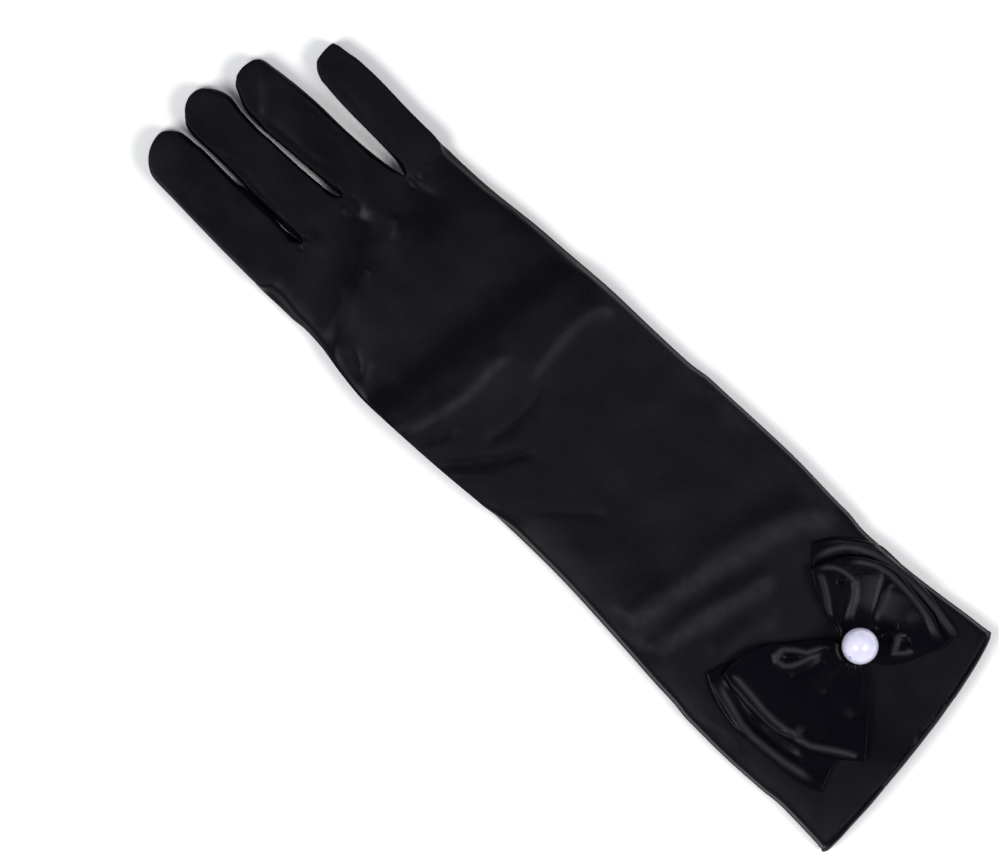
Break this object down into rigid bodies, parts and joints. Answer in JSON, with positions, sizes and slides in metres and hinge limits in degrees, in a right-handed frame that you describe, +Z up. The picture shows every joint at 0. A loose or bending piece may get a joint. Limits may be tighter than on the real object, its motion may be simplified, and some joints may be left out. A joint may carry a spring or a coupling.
{
  "type": "long dress glove",
  "caption": "Long black satin glove for a right hand, lying palm down with its thumb folded under, with a flat double bow and a pearl bead near the cuff.",
  "frame": {"origin": "on the surface that the glove lies on, under the middle of its whole outline", "axes": "+X to the little finger's side, +Y from the cuff to the finger tips, +Z up, out of the back of the hand"},
  "size_m": [0.0912, 0.3272, 0.0299],
  "materials": {
    "satin": "soft black satin with a fine weave and broad, dim highlights",
    "bow_satin": "glossier black satin, crisply folded",
    "pearl": "pearl lacquer, smooth and bright, lavender white"
  },
  "bodies": {
    "root": {"back_panel": "satin", "palm_panel": "satin", "fourchette_index_middle": "satin", "fourchette_middle_ring": "satin", "fourchette_ring_little": "satin", "thumb": "satin", "cuff_hem": "satin", "bow_lower_loop": "bow_satin", "bow_upper_loop": "bow_satin", "pearl": "pearl"}
  },
  "joints": []
}
